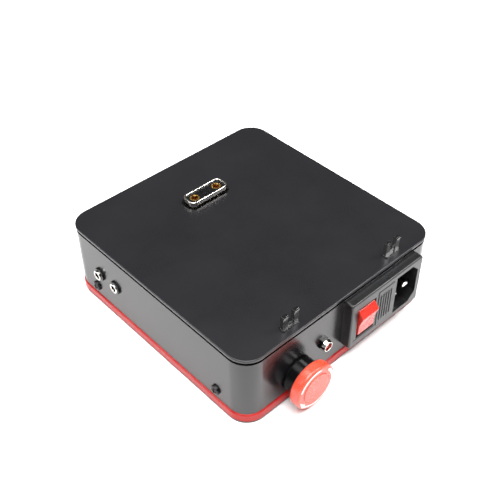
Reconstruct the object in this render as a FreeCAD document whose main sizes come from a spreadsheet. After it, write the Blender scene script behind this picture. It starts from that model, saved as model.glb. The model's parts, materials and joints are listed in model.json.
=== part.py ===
import FreeCAD, Part
import math
import os
import re
import Sketcher
from FreeCAD import Placement, Rotation, Vector

# Balance battery charger, millimetres. Origin: centre of the footprint on the surface it stands on.
# +Z up, -Y is the front (stop button, indicator, mains inlet), -X the side with the two jacks.
# In names, "Reach" is a distance out of the front wall and "Depth" a distance behind it.

doc = FreeCAD.newDocument("BalanceCharger")
sheet = doc.addObject("Spreadsheet::Sheet", "Dims")

dimensions = {
    # case
    "caseWidth": 132, "caseDepth": 136.5, "caseHeight": 44.4, "cornerRound": 11,
    "plateThick": 3.2, "plateLip": 1.6, "grooveDeep": 1.6, "plateOverhang": 0.2, "plateEdge": 0.5,
    "wallThick": 2.5, "bandTall": 5.0, "bandProud": 0.6, "bandEdge": 0.9,
    "baseThick": 1.2, "baseStep": 1.8, "fitGap": 0.15,
    "postX": 56.5, "postY": 58.7, "postRadius": 3.5, "studRadius": 1.45, "studTall": 1.5,
    "tabThick": 6.0, "tabWide": 8.0, "tabTall": 12.5, "sideScrewY": 47.7, "sideScrewZ": 11.6,
    # screws
    "bigShank": 1.5, "bigHead": 2.8, "bigHeadThick": 1.6, "smallShank": 1.2, "smallHead": 2.2,
    "smallHeadThick": 1.3, "threadGap": 0.05,
    # dock connector
    "dockY": 34.3, "dockHalf": 12.7, "dockHalfDeep": 4.7, "dockRound": 3.0, "dockWall": 1.0,
    "dockStand": 3.6, "dockSlotGap": 1.1, "dockFlangeHalf": 19.2, "dockFlangeDeep": 7.0,
    "dockFlangeThick": 1.6, "dockDrop": 8.0, "dockScrewX": 16.4, "insertSink": 0.8,
    "socketX": 7.5, "socketRadius": 2.7, "socketBore": 1.75, "socketBoreDeep": 11.0, "socketSlit": 0.5,
    "contactSpread": 1.5, "contactRadius": 0.75, "contactBore": 0.45,
    "dockBoardHalf": 15.0, "dockBoardDeep": 6.5, "boardThick": 1.6,
    # battery hooks
    "hookLeftX": -33.8, "hookRightX": 37.4, "hookY": -63.0, "tongueWide": 3.0, "tonguePitch": 7.0,
    "tongueTall": 8.6, "tongueThick": 2.0, "hookLip": 0.35, "hookBaseTall": 0.9, "hookPeg": 1.5,
    # stop button
    "stopX": -32.6, "stopZ": 14.4, "stopHole": 7.15, "barrelRadius": 7.0, "barrelDepth": 12.0,
    "collarRadius": 9.6, "collarReach": 6.8, "gasketThick": 0.8, "gasketRadius": 8.1,
    "stemRadius": 3.0, "runningGap": 0.06, "headRadius": 12.5, "headReach": 12.7, "headThick": 5.6,
    "headCavity": 10.0, "headFloor": 1.6, "capRadius": 8.2, "capRecess": 0.5,
    "springHouse": 5.5, "shelfReach": 3.8, "stopNutRadius": 9.8, "stopNutThick": 3.0,
    # indicator
    "ledX": -14.7, "ledZ": 21.4, "ledHole": 3.1, "ledTube": 3.0, "ledBore": 2.3, "ledHex": 3.8,
    "ledHexReach": 1.4, "ledReach": 3.4, "ledRim": 3.2, "ledDepth": 9.0, "lensRadius": 2.25,
    "lensReach": 2.6,
    # jacks
    "jackRearY": 43.0, "jackFrontY": 29.5, "jackZ": 23.2, "jackThread": 2.8, "jackBore": 1.8,
    "jackRearReach": 2.2, "jackFrontReach": 1.7, "jackNut": 3.8, "jackNutThick": 1.2, "jackDepth": 6.0,
    # mains inlet
    "inletX": 24.6, "inletZ": 25.8, "flangeHalf": 26.5, "flangeHalfTall": 15.1, "flangeReach": 5.6,
    "flangeRound": 1.5, "flangeEdge": 0.9, "innerHalf": 25.2, "innerHalfTall": 13.1, "innerDepth": 16.0,
    "socketCentreX": 39.5, "cavityHalf": 8.4, "cavityHalfTall": 12.2, "cavityChamfer": 4.6,
    "cavityDepth": 11.0, "bladeWide": 4.0, "bladeThick": 2.0, "bladeSpread": 7.0, "bladeShift": 2.0,
    "bladeReach": 1.2, "earthReach": 4.0, "bladeDepth": 22.0,
    "rockerX": 9.1, "apertureHalf": 6.5, "apertureHalfTall": 10.0, "apertureDepth": 7.0,
    "rockerHalf": 5.8, "crestTall": 6.3, "rockerTall": 9.3, "pivotReach": 1.0, "pivotRadius": 1.5,
    "trunnion": 1.2, "rockerTilt": 10.5,
    "drawerX": 23.3, "panelHalf": 5.85, "panelHalfTall": 11.65, "panelFloor": 3.2, "slideGap": 0.3,
    "panelReach": 5.9, "ribPitch": 1.9, "ribHalf": 0.35, "ribHalfTall": 8.5,
    "trayHalf": 4.5, "trayHalfTall": 10.9, "trayDepth": 11.5, "drawerEnd": 13.0,
    "fuseRadius": 2.6, "fuseLong": 20.0, "fuseAxisDepth": 6.0, "fuseCapLong": 5.5,
    # inside
    "boardBottom": 8.0, "boardHalf": 50.0, "boardFront": -27.0, "boardRear": 60.0,
    "sheetThick": 0.4, "mountX": 45.0, "mountFront": -22.0, "mountRear": 55.0,
}

for row, (alias, amount) in enumerate(dimensions.items(), 1):
    sheet.set(f"A{row}", alias)
    sheet.set(f"B{row}", str(amount))
    sheet.setAlias(f"B{row}", alias)
doc.recompute()

parts = []
upright = Rotation()
frontTurn = Rotation(Vector(1, 0, 0), 90)
leftTurn = Rotation(Vector(0, 1, 0), -90)
alongAxis = {"x": Rotation(Vector(0, 1, 0), 90), "y": Rotation(Vector(1, 0, 0), -90), "z": upright}
front = "-caseDepth / 2"


# Helpers

def link(expression):
    """Puts the sheet's name before each alias, so that expressions are written in plain words."""
    def prefix(word):
        return "Dims." + word.group() if word.group() in dimensions else word.group()
    return re.sub(r"[A-Za-z]\w*", prefix, str(expression))


def value(expression):
    return float(sheet.evalExpression(link(expression)))


def place(item, x="0", y="0", z="0", turn=upright):
    item.Placement = Placement(Vector(value(x), value(y), value(z)), turn)
    for axis, expression in zip("xyz", (x, y, z)):
        item.setExpression("Placement.Base." + axis, link(expression))


def keep(item, label):
    """Marks an object as a sub-part: its Label is the name of its file."""
    item.Label = label
    parts.append(item)
    return item


def box(name, low, high):
    """A block between two corners."""
    item = doc.addObject("Part::Box", name)
    for size, start, end in zip(("Length", "Width", "Height"), low, high):
        item.setExpression(size, link(f"({end}) - ({start})"))
    place(item, *low)
    return item


def rod(name, axis, start, end, across, radius):
    """A cylinder along an axis, from start to end; across holds its two other coordinates."""
    item = doc.addObject("Part::Cylinder", name)
    item.setExpression("Radius", link(radius))
    item.setExpression("Height", link(f"({end}) - ({start})"))
    spot = list(across)
    spot.insert("xyz".index(axis), start)
    place(item, *spot, alongAxis[axis])
    return item


def hexRod(name, axis, start, end, across, radius):
    """A six-sided bar along an axis; radius is to its corners."""
    item = doc.addObject("Part::Prism", name)
    item.Polygon = 6
    item.setExpression("Circumradius", link(radius))
    item.setExpression("Height", link(f"({end}) - ({start})"))
    spot = list(across)
    spot.insert("xyz".index(axis), start)
    place(item, *spot, alongAxis[axis])
    return item


def join(name, *pieces):
    item = doc.addObject("Part::MultiFuse", name)
    item.Shapes = list(pieces)
    return item


def cut(name, base, *tools):
    item = doc.addObject("Part::Cut", name)
    item.Base = base
    item.Tool = tools[0] if len(tools) == 1 else join(name + "Tools", *tools)
    return item


def newBody(label):
    name = "".join(word.capitalize() for word in label.split("_"))
    return keep(doc.addObject("PartDesign::Body", name), label)


def newSketch(body, role, offset="0"):
    """A sketch on one of the body's own origin planes, moved along the plane's normal."""
    plane = next(item for item in body.Origin.OriginFeatures if item.Role == role)
    sketch = body.newObject("Sketcher::SketchObject", body.Name + "Sketch")
    sketch.AttachmentSupport = [(plane, "")]
    sketch.MapMode = "FlatFace"
    sketch.setExpression("AttachmentOffset.Base.z", link(offset))
    return sketch


def hold(sketch, kind, geometry, point, expression):
    """Binds one coordinate of a point of the sketch, counted from the sketch's origin."""
    number = sketch.addConstraint(Sketcher.Constraint(kind, -1, 1, geometry, point, value(expression)))
    sketch.setExpression(f"Constraints[{number}]", link(expression))


def polygon(sketch, points):
    first = sketch.GeometryCount
    spots = [Vector(value(x), value(y), 0) for x, y in points]
    total = len(spots)
    for index in range(total):
        sketch.addGeometry(Part.LineSegment(spots[index], spots[(index + 1) % total]))
    for index in range(total):
        following = first + (index + 1) % total
        sketch.addConstraint(Sketcher.Constraint("Coincident", first + index, 2, following, 1))
    for index, (x, y) in enumerate(points):
        hold(sketch, "DistanceX", first + index, 1, x)
        hold(sketch, "DistanceY", first + index, 1, y)


def circle(sketch, x, y, radius):
    spot = Vector(value(x), value(y), 0)
    index = sketch.addGeometry(Part.Circle(spot, Vector(0, 0, 1), value(radius)))
    hold(sketch, "DistanceX", index, 3, x)
    hold(sketch, "DistanceY", index, 3, y)
    number = sketch.addConstraint(Sketcher.Constraint("Radius", index, value(radius)))
    sketch.setExpression(f"Constraints[{number}]", link(radius))


def roundRect(sketch, left, right, low, high, radius):
    """A rectangle with four equal round corners, drawn anticlockwise from its low side."""
    x0, x1, y0, y1, r = (value(item) for item in (left, right, low, high, radius))
    corners = [(x1 - r, y0 + r, -90), (x1 - r, y1 - r, 0), (x0 + r, y1 - r, 90), (x0 + r, y0 + r, 180)]
    ends = []
    for x, y, start in corners:
        first, last = math.radians(start), math.radians(start + 90)
        arc = Part.ArcOfCircle(Part.Circle(Vector(x, y, 0), Vector(0, 0, 1), r), first, last)
        ends.append((arc, arc.StartPoint, arc.EndPoint))
    base = sketch.GeometryCount
    for index, (arc, start, end) in enumerate(ends):
        sketch.addGeometry(Part.LineSegment(ends[index - 1][2], start))
        sketch.addGeometry(arc)
    for index in range(4):
        side, arc = base + 2 * index, base + 2 * index + 1
        following = base + (2 * index + 2) % 8
        sketch.addConstraint(Sketcher.Constraint("Tangent", side, 2, arc, 1))
        sketch.addConstraint(Sketcher.Constraint("Tangent", arc, 2, following, 1))
        sketch.addConstraint(Sketcher.Constraint("Vertical" if index % 2 else "Horizontal", side))
        if index:
            sketch.addConstraint(Sketcher.Constraint("Equal", base + 1, arc))
    number = sketch.addConstraint(Sketcher.Constraint("Radius", base + 1, r))
    sketch.setExpression(f"Constraints[{number}]", link(radius))
    hold(sketch, "DistanceY", base, 1, low)
    hold(sketch, "DistanceX", base + 2, 1, right)
    hold(sketch, "DistanceY", base + 4, 1, high)
    hold(sketch, "DistanceX", base + 6, 1, left)


def pad(body, sketch, length, flip=False, middle=False):
    feature = body.newObject("PartDesign::Pad", body.Name + "Pad")
    feature.Profile = sketch
    feature.Reversed = flip
    feature.Midplane = middle
    feature.setExpression("Length", link(length))
    doc.recompute()
    return feature


def pocket(body, sketch, length, flip=False):
    """Cuts against the sketch's normal, or along it if flipped, and checks that it cut something."""
    before = body.Shape.Volume
    feature = body.newObject("PartDesign::Pocket", body.Name + "Pocket")
    feature.Profile = sketch
    feature.Reversed = flip
    feature.setExpression("Length", link(length))
    doc.recompute()
    if body.Shape.Volume > before - 0.01:
        raise RuntimeError(f"{feature.Name} cuts nothing")
    return feature


def fillet(body, feature, radius, wanted):
    """Rounds the edges of the feature for which wanted(edge) holds."""
    names = [f"Edge{number}" for number, edge in enumerate(feature.Shape.Edges, 1) if wanted(edge)]
    rounding = body.newObject("PartDesign::Fillet", body.Name + "Fillet")
    rounding.Base = (feature, names)
    rounding.setExpression("Radius", link(radius))
    doc.recompute()
    return rounding


def turned(label, outline, spot, turn):
    """A turned piece: its outline is given as (radius, height) and its axis is its own Z."""
    body = newBody(label)
    sketch = newSketch(body, "XZ_Plane")
    polygon(sketch, outline)
    feature = body.newObject("PartDesign::Revolution", body.Name + "Turn")
    feature.Profile = sketch
    feature.ReferenceAxis = (sketch, ["V_Axis"])
    feature.Angle = 360
    doc.recompute()
    place(body, *spot, turn)
    return body, feature


def atHeight(edge, height):
    box3d = edge.BoundBox
    return abs(box3d.ZMin - height) < 0.001 and abs(box3d.ZMax - height) < 0.001


def screw(name, axis, seat, inward, across, shank, head, headThick, length):
    """A pan-head screw with a cross recess: seat is where its head bears, inward is 1 or -1."""
    def span(near, far):
        ends = [f"({seat}) + ({inward}) * ({near})", f"({seat}) + ({inward}) * ({far})"]
        return ends if inward > 0 else ends[::-1]
    headRod = rod(name + "Head", axis, *span(f"-{headThick}", "0"), across, head)
    shankRod = rod(name + "Shank", axis, *span(f"-{headThick} / 2", length), across, shank)
    recess = []
    for number, (wide, tall) in enumerate(((0.62, 0.15), (0.15, 0.62))):
        low = [f"({across[0]}) - {wide} * {head}", f"({across[1]}) - {tall} * {head}"]
        high = [f"({across[0]}) + {wide} * {head}", f"({across[1]}) + {tall} * {head}"]
        start, end = span(f"-{headThick} - 1", f"-{headThick} * 0.4")
        low.insert("xyz".index(axis), start)
        high.insert("xyz".index(axis), end)
        recess.append(box(f"{name}Slot{number}", low, high))
    return cut(name, join(name + "Blank", headRod, shankRod), *recess)


def cordTube(route, bend, radius):
    """A tube along straight runs joined by tangent arcs of one radius."""
    points = [Vector(*point) for point in route]
    edges, start = [], points[0]
    for before, corner, after in zip(points, points[1:], points[2:]):
        arriving = (corner - before).normalize()
        leaving = (after - corner).normalize()
        turn = arriving.getAngle(leaving)
        trim = bend * math.tan(turn / 2)
        middle = (leaving - arriving).normalize() * (bend / math.cos(turn / 2) - bend)
        arcStart, arcEnd = corner - arriving * trim, corner + leaving * trim
        edges.append(Part.LineSegment(start, arcStart).toShape())
        edges.append(Part.Arc(arcStart, corner + middle, arcEnd).toShape())
        start = arcEnd
    edges.append(Part.LineSegment(start, points[-1]).toShape())
    profile = Part.Wire([Part.makeCircle(radius, points[0], points[1] - points[0])])
    return Part.Wire(edges).makePipeShell([profile], True, False)


def wires(label, routes, bend, radius):
    feature = doc.addObject("Part::Feature", "".join(word.capitalize() for word in label.split("_")))
    feature.Shape = Part.makeCompound([cordTube(route, bend, radius) for route in routes])
    feature.Placement = Placement()
    return keep(feature, label)


# Case

bandTop = "(baseThick + bandTall)"
plateBottom = "(caseHeight - plateThick)"
floorTop = "(baseThick + baseStep)"
wallInnerX = "(caseWidth / 2 - wallThick)"
wallInnerY = "(caseDepth / 2 - wallThick)"
innerRound = "(cornerRound - wallThick)"


def caseOutline(sketch, grow, radius):
    halfX = f"(caseWidth / 2 + {grow})"
    halfY = f"(caseDepth / 2 + {grow})"
    roundRect(sketch, "-" + halfX, halfX, "-" + halfY, halfY, radius)


def topPlate():
    """A slab over the walls' outline, standing on a smaller step that leaves a groove all round."""
    body = newBody("top_plate")
    sketch = newSketch(body, "XY_Plane", "caseHeight - plateLip")
    caseOutline(sketch, "plateOverhang", "cornerRound + plateOverhang")
    slab = pad(body, sketch, "plateLip")
    fillet(body, slab, "plateEdge", lambda edge: atHeight(edge, value("caseHeight")))
    step = newSketch(body, "XY_Plane", plateBottom)
    caseOutline(step, "(-grooveDeep)", "(cornerRound - grooveDeep)")
    pad(body, step, "plateThick - plateLip")
    slot = newSketch(body, "XY_Plane", "caseHeight + 1")
    halfX = "(dockHalf + dockSlotGap)"
    halfY = "(dockHalfDeep + dockSlotGap)"
    roundRect(slot, "-" + halfX, halfX, "dockY - " + halfY, "dockY + " + halfY, "dockRound + dockSlotGap")
    for hookX in ("hookLeftX", "hookRightX"):
        circle(slot, hookX, "hookY", "hookPeg")
    pocket(body, slot, "plateThick + 2")
    below = newSketch(body, "XY_Plane", plateBottom)
    for sideX in ("-", ""):
        for sideY in ("-", ""):
            circle(below, sideX + "postX", sideY + "postY", "studRadius + threadGap")
        circle(below, sideX + "dockScrewX", "dockY", "smallShank + threadGap")
    pocket(body, below, "studTall + 0.4", flip=True)


def wallFrame():
    body = newBody("wall_frame")
    sketch = newSketch(body, "XY_Plane", bandTop)
    caseOutline(sketch, "0", "cornerRound")
    caseOutline(sketch, "(-wallThick)", innerRound)
    pad(body, sketch, f"{plateBottom} - {bandTop}")
    openings = newSketch(body, "XZ_Plane", "caseDepth / 2 + 1")
    halfX = "(innerHalf + fitGap)"
    halfZ = "(innerHalfTall + fitGap)"
    roundRect(openings, "inletX - " + halfX, "inletX + " + halfX, "inletZ - " + halfZ,
              "inletZ + " + halfZ, "flangeRound")
    circle(openings, "stopX", "stopZ", "stopHole")
    circle(openings, "ledX", "ledZ", "ledHole")
    pocket(body, openings, "wallThick + 2")
    left = newSketch(body, "YZ_Plane", "-caseWidth / 2 - 1")
    for jackY in ("jackRearY", "jackFrontY"):
        circle(left, jackY, "jackZ", "jackThread + 0.1")
    right = newSketch(body, "YZ_Plane", "caseWidth / 2 + 1")
    for side in (left, right):
        for sign in ("-", ""):
            circle(side, sign + "sideScrewY", "sideScrewZ", "bigShank + 0.1")
    pocket(body, left, "wallThick + 2", flip=True)
    pocket(body, right, "wallThick + 2")


def redTrimBand():
    body = newBody("red_trim_band")
    sketch = newSketch(body, "XY_Plane", "baseThick")
    caseOutline(sketch, "bandProud", "cornerRound + bandProud")
    caseOutline(sketch, "(-wallThick)", innerRound)
    ring = pad(body, sketch, "bandTall")

    def outside(edge):
        spot = edge.Vertexes[0].Point
        level = atHeight(edge, value("baseThick")) or atHeight(edge, value(bandTop))
        return level and (abs(spot.x) > value("caseWidth / 2") or abs(spot.y) > value("caseDepth / 2"))

    fillet(body, ring, "bandEdge", outside)


def bottomPlate():
    body = newBody("bottom_plate")
    sketch = newSketch(body, "XY_Plane")
    caseOutline(sketch, "plateOverhang", "cornerRound + plateOverhang")
    pad(body, sketch, "baseThick")
    step = newSketch(body, "XY_Plane", "baseThick")
    caseOutline(step, "(-wallThick - fitGap)", "(cornerRound - wallThick - fitGap)")
    pad(body, step, "baseStep")
    through = newSketch(body, "XY_Plane", floorTop)
    recess = newSketch(body, "XY_Plane")
    for sideX in ("-", ""):
        for sideY in ("-", ""):
            circle(through, sideX + "postX", sideY + "postY", "bigShank + 0.1")
            circle(recess, sideX + "postX", sideY + "postY", "bigHead + 0.3")
    pocket(body, through, floorTop)
    pocket(body, recess, "bigHeadThick + 0.2", flip=True)


def corners():
    return [(sideX + "postX", sideY + "postY") for sideX in ("-", "") for sideY in ("-", "")]


def cornerPosts():
    posts = []
    bores = []
    for number, spot in enumerate(corners()):
        posts.append(rod(f"Post{number}", "z", floorTop, plateBottom, spot, "postRadius"))
        posts.append(rod(f"Stud{number}", "z", plateBottom, plateBottom + " + studTall", spot, "studRadius"))
        bores.append(rod(f"PostBore{number}", "z", floorTop + " - 1", floorTop + " + 9", spot,
                         "bigShank + threadGap"))
    keep(cut("CornerPosts", join("PostBlanks", *posts), *bores), "corner_posts")


def baseScrews():
    seat = "(bigHeadThick + 0.2)"
    screws = [screw(f"BaseScrew{number}", "z", seat, 1, spot, "bigShank", "bigHead", "bigHeadThick", "9")
              for number, spot in enumerate(corners())]
    keep(join("BaseScrews", *screws), "base_screws")


def sideFastening():
    """Tab blocks on the bottom plate, and the four screws that hold the walls to them."""
    blocks = []
    bores = []
    for side, start in (("left", f"-{wallInnerX}"), ("right", f"({wallInnerX} - tabThick)")):
        for end, sign in (("front", "-"), ("rear", "")):
            name = side.capitalize() + end.capitalize()
            centre = f"({sign}sideScrewY)"
            low = (start, f"{centre} - tabWide / 2", floorTop)
            high = (f"{start} + tabThick", f"{centre} + tabWide / 2", f"{floorTop} + tabTall")
            blocks.append(box("Tab" + name, low, high))
            bores.append(rod("TabBore" + name, "x", f"{start} - 1", f"{start} + tabThick + 1",
                             (centre, "sideScrewZ"), "bigShank + threadGap"))
            inward = 1 if side == "left" else -1
            seat = "-caseWidth / 2" if side == "left" else "caseWidth / 2"
            item = screw("SideScrew" + name, "x", seat, inward, (centre, "sideScrewZ"),
                         "bigShank", "bigHead", "bigHeadThick", "wallThick + tabThick")
            keep(item, f"side_screw_{end}_{side}")
    keep(cut("SideTabs", join("TabBlanks", *blocks), *bores), "side_tab_blocks")


# Dock connector

dockTop = "(caseHeight + dockStand)"
insertTop = "(caseHeight + dockStand - insertSink)"
dockBottom = "(caseHeight - plateThick - dockDrop)"
contactSpots = [(f"{a}contactSpread", f"dockY {b} contactSpread") for a in ("-", "") for b in "-+"]


def dockOutline(sketch, shrink):
    halfX = f"(dockHalf - {shrink})"
    halfY = f"(dockHalfDeep - {shrink})"
    roundRect(sketch, "-" + halfX, halfX, "dockY - " + halfY, "dockY + " + halfY, f"dockRound - {shrink}")


def dockShell():
    body = newBody("dock_shell")
    flange = newSketch(body, "XY_Plane", f"{plateBottom} - dockFlangeThick")
    roundRect(flange, "-dockFlangeHalf", "dockFlangeHalf", "dockY - dockFlangeDeep",
              "dockY + dockFlangeDeep", "dockRound")
    for sign in ("-", ""):
        circle(flange, sign + "dockScrewX", "dockY", "smallShank + 0.1")
    dockOutline(flange, "dockWall")
    pad(body, flange, "dockFlangeThick")
    tube = newSketch(body, "XY_Plane", f"{plateBottom} - dockFlangeThick")
    dockOutline(tube, "0")
    dockOutline(tube, "dockWall")
    feature = pad(body, tube, f"{dockTop} - {plateBottom} + dockFlangeThick")
    fillet(body, feature, "dockWall * 0.4", lambda edge: atHeight(edge, value(dockTop)))


def dockInsert():
    body = newBody("dock_insert")
    sketch = newSketch(body, "XY_Plane", dockBottom)
    dockOutline(sketch, "(dockWall + 0.05)")
    for sign in ("-", ""):
        circle(sketch, sign + "socketX", "dockY", "socketRadius + threadGap")
    for x, y in contactSpots:
        circle(sketch, x, y, "contactRadius + threadGap")
    block = pad(body, sketch, f"{insertTop} - {dockBottom}")
    fillet(body, block, "0.3", lambda edge: atHeight(edge, value(insertTop)) and edge.BoundBox.XLength > 15)


def dockSockets():
    """Two split power sockets, each with a bore, four slits and a solder tail."""
    for side, sign in (("left", "-"), ("right", "")):
        name = "DockSocket" + side.capitalize()
        spot = (sign + "socketX", "dockY")
        top = f"({insertTop} - 0.2)"
        barrel = rod(name + "Barrel", "z", dockBottom, top, spot, "socketRadius")
        tail = rod(name + "Tail", "z", f"{dockBottom} - 3", dockBottom, spot, "1.2")
        bore = rod(name + "Bore", "z", f"{top} - socketBoreDeep", f"{top} + 1", spot, "socketBore")
        half = "socketSlit / 2"
        reach = "(socketRadius + 1)"
        across = box(name + "SlitAcross", (f"{spot[0]} - {reach}", f"dockY - {half}", f"{top} - 6"),
                     (f"{spot[0]} + {reach}", f"dockY + {half}", f"{top} + 1"))
        along = box(name + "SlitAlong", (f"{spot[0]} - {half}", f"dockY - {reach}", f"{top} - 6"),
                    (f"{spot[0]} + {half}", f"dockY + {reach}", f"{top} + 1"))
        keep(cut(name, join(name + "Blank", barrel, tail), bore, across, along), f"dock_power_socket_{side}")


def dockContacts():
    tubes = []
    bores = []
    for number, spot in enumerate(contactSpots):
        tubes.append(rod(f"Contact{number}", "z", f"{dockBottom} - 3", f"{insertTop} - 0.3", spot,
                         "contactRadius"))
        bores.append(rod(f"ContactBore{number}", "z", f"{insertTop} - 8", insertTop, spot, "contactBore"))
    keep(cut("DockContacts", join("ContactTubes", *tubes), *bores), "dock_signal_contacts")


def dockFixing():
    """Two screws up into the plate, and the wiring board soldered to the tails of the contacts."""
    screws = [screw("DockScrew" + name, "z", f"({plateBottom} - dockFlangeThick)", 1,
                    (sign + "dockScrewX", "dockY"), "smallShank", "smallHead", "smallHeadThick", "3.4")
              for name, sign in (("Left", "-"), ("Right", ""))]
    keep(join("DockScrews", *screws), "dock_screws")
    top = f"({dockBottom} - 0.6)"
    slab = box("DockBoardSlab", ("-dockBoardHalf", "dockY - dockBoardDeep", f"{top} - boardThick"),
               ("dockBoardHalf", "dockY + dockBoardDeep", top))
    holes = []
    for number, sign in enumerate(("-", "")):
        holes.append(rod(f"DockBoardPower{number}", "z", f"{top} - 3", f"{top} + 1",
                         (sign + "socketX", "dockY"), "1.2 + threadGap"))
    for number, spot in enumerate(contactSpots):
        holes.append(rod(f"DockBoardSignal{number}", "z", f"{top} - 3", f"{top} + 1", spot,
                         "contactRadius + threadGap"))
    keep(cut("DockBoard", slab, *holes), "dock_board")


# Battery hooks

def batteryHook(side, hookX):
    """Two upright tongues with a lip towards the front, on a low foot with a peg into the plate."""
    body = newBody(f"battery_hook_{side}")
    foot = newSketch(body, "XY_Plane")
    half = "(tonguePitch / 2 + tongueWide / 2 + 0.2)"
    roundRect(foot, "-" + half, half, "-tongueThick", "tongueThick * 0.8", "0.8")
    pad(body, foot, "hookBaseTall")
    bridge = newSketch(body, "XY_Plane")
    inner = "(tonguePitch / 2 - tongueWide / 2 + 0.5)"
    roundRect(bridge, "-" + inner, inner, "-tongueThick * 0.3", "tongueThick * 0.5", "0.3")
    pad(body, bridge, "hookBaseTall + 1.8")
    back = "tongueThick / 2"
    lip = "(-tongueThick / 2 - hookLip)"
    profile = [("-" + back, "0"), (back, "0"), (back, "tongueTall - 0.7"), (f"{back} - 0.5", "tongueTall"),
               (f"{lip} + 0.4", "tongueTall"), (lip, "tongueTall - 0.4"), (lip, "tongueTall - 1.1"),
               ("-" + back, "tongueTall - 1.4")]
    for sign in ("-", ""):
        tongue = newSketch(body, "YZ_Plane", f"{sign}tonguePitch / 2 - tongueWide / 2")
        polygon(tongue, profile)
        feature = pad(body, tongue, "tongueWide")
    peg = newSketch(body, "XY_Plane")
    circle(peg, "0", "0", "hookPeg")
    feature = pad(body, peg, "plateThick - 0.4", flip=True)

    def atTip(edge):
        extent = edge.BoundBox
        level = extent.ZMin > value("tongueTall - 0.8") and extent.ZLength < 0.01
        return level and extent.XLength > value("tongueWide") - 0.01

    fillet(body, feature, "0.2", atTip)
    place(body, hookX, "hookY", "caseHeight")


# Stop button: outlines are (radius, reach out of the wall)

stopSpot = ("stopX", front, "stopZ")
stemBore = "(stemRadius + runningGap)"
headBack = "(headReach - headThick)"
cavityFloor = "(headReach - headFloor)"


def stopCollar():
    turned("stop_collar", [
        (stemBore, "collarReach"), (stemBore, "shelfReach"), ("springHouse", "shelfReach"),
        ("springHouse", "3 - barrelDepth"), (stemBore, "3 - barrelDepth"), (stemBore, "-barrelDepth"),
        ("barrelRadius", "-barrelDepth"), ("barrelRadius", "gasketThick"),
        ("collarRadius", "gasketThick"), ("collarRadius", "collarReach - 0.5"),
        ("collarRadius - 0.5", "collarReach")], stopSpot, frontTurn)
    turned("stop_gasket", [
        ("stopHole", "0"), ("gasketRadius", "0"), ("gasketRadius", "gasketThick"),
        ("stopHole", "gasketThick")], stopSpot, frontTurn)


def stopLockNut():
    across = ("stopX", "stopZ")
    start = f"{front} + wallThick"
    nut = hexRod("StopNut", "y", start, start + " + stopNutThick", across, "stopNutRadius")
    bore = rod("StopNutBore", "y", start + " - 1", start + " + stopNutThick + 1", across,
               "barrelRadius + threadGap")
    keep(cut("StopLockNut", nut, bore), "stop_lock_nut")


def stopPlunger():
    turned("stop_plunger", [
        ("0", f"{cavityFloor} + 0.8"), ("stemRadius", f"{cavityFloor} + 0.8"),
        ("stemRadius", "shelfReach - 0.3"), ("springHouse - 0.3", "shelfReach - 0.3"),
        ("springHouse - 0.3", "shelfReach - 1.5"), ("stemRadius", "shelfReach - 1.5"),
        ("stemRadius", "-barrelDepth - 1"), ("0", "-barrelDepth - 1")], stopSpot, frontTurn)


def stopSpring():
    """A coil between the plunger's flange and the closed end of the barrel, its wire eight-sided."""
    wireRadius = 0.4
    turns = 6
    low = value("3 - barrelDepth") + wireRadius
    high = value("shelfReach - 1.5") - wireRadius
    coilRadius = (value("stemRadius") + value("springHouse")) / 2
    helix = Part.makeHelix((high - low) / turns, high - low, coilRadius)
    angles = [number * math.pi / 4 for number in range(8)]
    ring = [Vector(coilRadius + wireRadius * math.cos(angle), 0, wireRadius * math.sin(angle))
            for angle in angles]
    feature = doc.addObject("Part::Feature", "StopReturnSpring")
    feature.Shape = helix.makePipeShell([Part.makePolygon(ring + ring[:1])], True, True)
    base = Vector(value("stopX"), value(front) - low, value("stopZ"))
    feature.Placement = Placement(base, frontTurn)
    keep(feature, "stop_return_spring")


def stopHead():
    body, feature = turned("stop_head", [
        (stemBore, cavityFloor), ("headCavity", cavityFloor), ("headCavity", headBack),
        ("headRadius", headBack), ("headRadius", "headReach"), ("capRadius + threadGap", "headReach"),
        ("capRadius + threadGap", "headReach - capRecess"), (stemBore, "headReach - capRecess")],
        stopSpot, frontTurn)

    def rim(height):
        return lambda edge: atHeight(edge, value(height)) and edge.Curve.Radius > value("headRadius") - 0.01

    rounded = fillet(body, feature, "1.4", rim("headReach"))
    fillet(body, rounded, "0.7", rim(headBack))
    cap, disc = turned("stop_centre_cap", [
        ("0", "headReach - capRecess"), ("capRadius", "headReach - capRecess"),
        ("capRadius", "headReach + 0.25"), ("0", "headReach + 0.25")], stopSpot, frontTurn)
    fillet(cap, disc, "0.25", lambda edge: atHeight(edge, value("headReach + 0.25")))


def stopContacts():
    depth = "(barrelDepth)"
    low = ("stopX - 9", f"{front} + {depth}", "stopZ - 8")
    high = ("stopX + 9", f"{front} + {depth} + 18", "stopZ + 8")
    block = box("ContactBlockBlank", low, high)
    bore = rod("ContactBlockBore", "y", f"{front} + {depth} - 1", f"{front} + {depth} + 6",
               ("stopX", "stopZ"), "stemRadius + 0.3")
    keep(cut("StopContactBlock", block, bore), "stop_contact_block")
    tabs = []
    for number, (across, up) in enumerate(((-4, -4), (4, -4), (-4, 4), (4, 4))):
        tabs.append(box(f"StopTab{number}",
                        (f"stopX + {across} - 2.4", f"{front} + {depth} + 18", f"stopZ + {up} - 0.4"),
                        (f"stopX + {across} + 2.4", f"{front} + {depth} + 23", f"stopZ + {up} + 0.4")))
    keep(join("StopTerminals", *tabs), "stop_terminals")


# Indicator

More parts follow.
